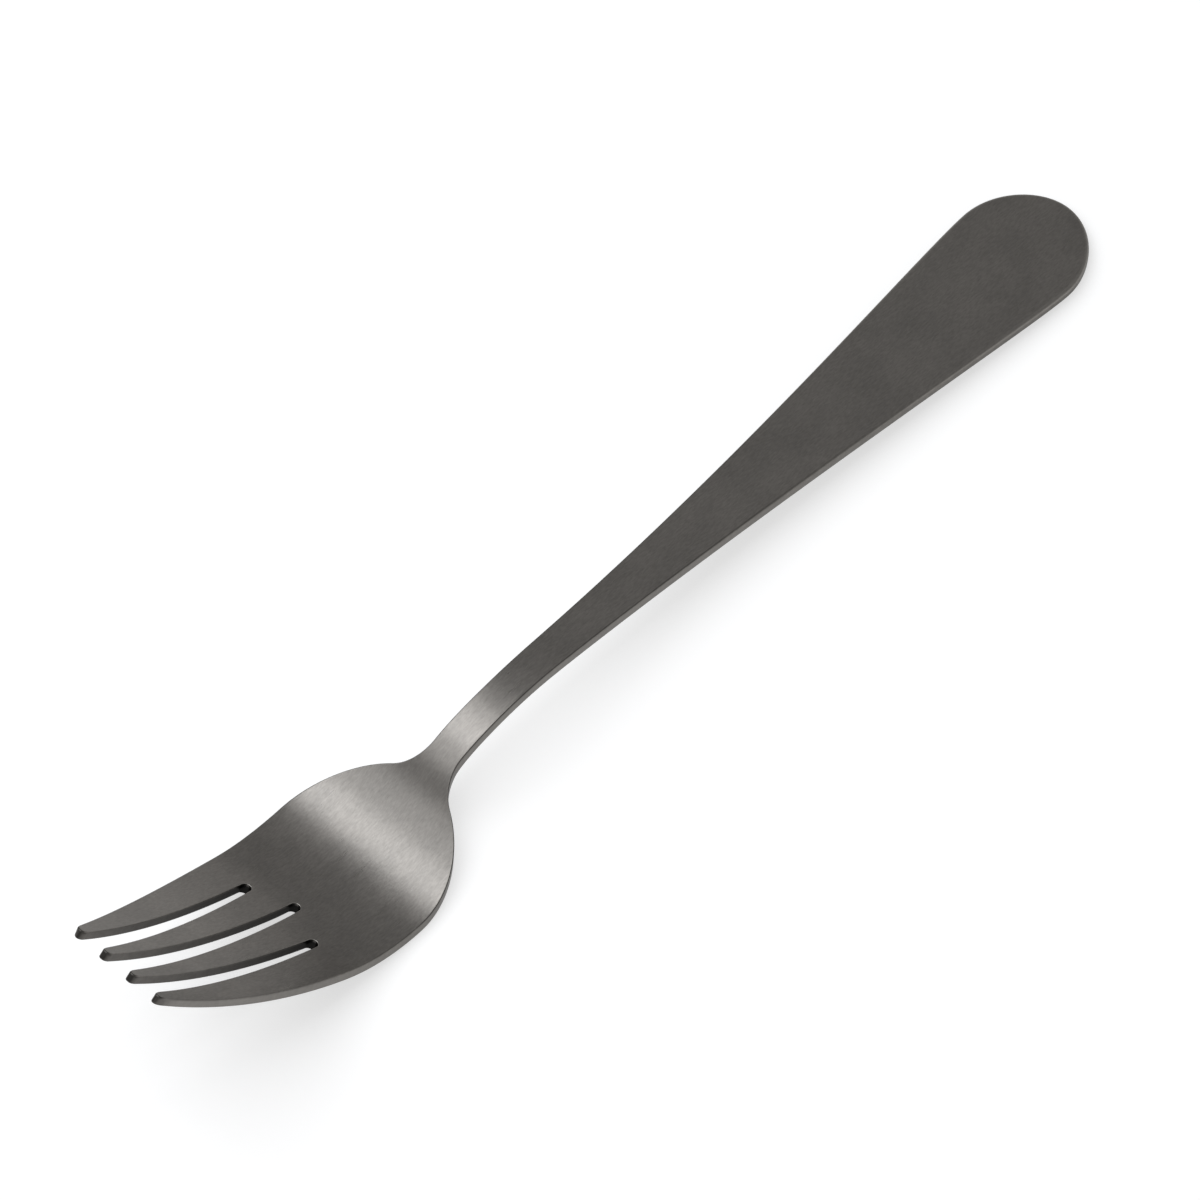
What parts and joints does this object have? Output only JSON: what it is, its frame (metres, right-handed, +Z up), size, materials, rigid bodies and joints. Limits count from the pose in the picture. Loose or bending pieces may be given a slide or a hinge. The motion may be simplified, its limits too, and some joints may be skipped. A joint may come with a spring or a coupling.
{
  "type": "dinner fork",
  "caption": "One-piece dinner fork with a flat tapered handle, a bent neck, a curved bowl and slotted tines with blunt points, for lifting food.",
  "frame": {"origin": "on the table under the middle of the fork's length and width, where the end of the handle and the bottom of the bowl touch z = 0", "axes": "+X from the end of the handle to the points of the tines, +Y across the fork, +Z up, on the hollow side of the bowl"},
  "size_m": [0.201, 0.028, 0.0324],
  "materials": {
    "steel": "dark satin stainless steel with a fine brush grain along the length"
  },
  "bodies": {
    "root": {"fork": "steel"}
  },
  "joints": []
}
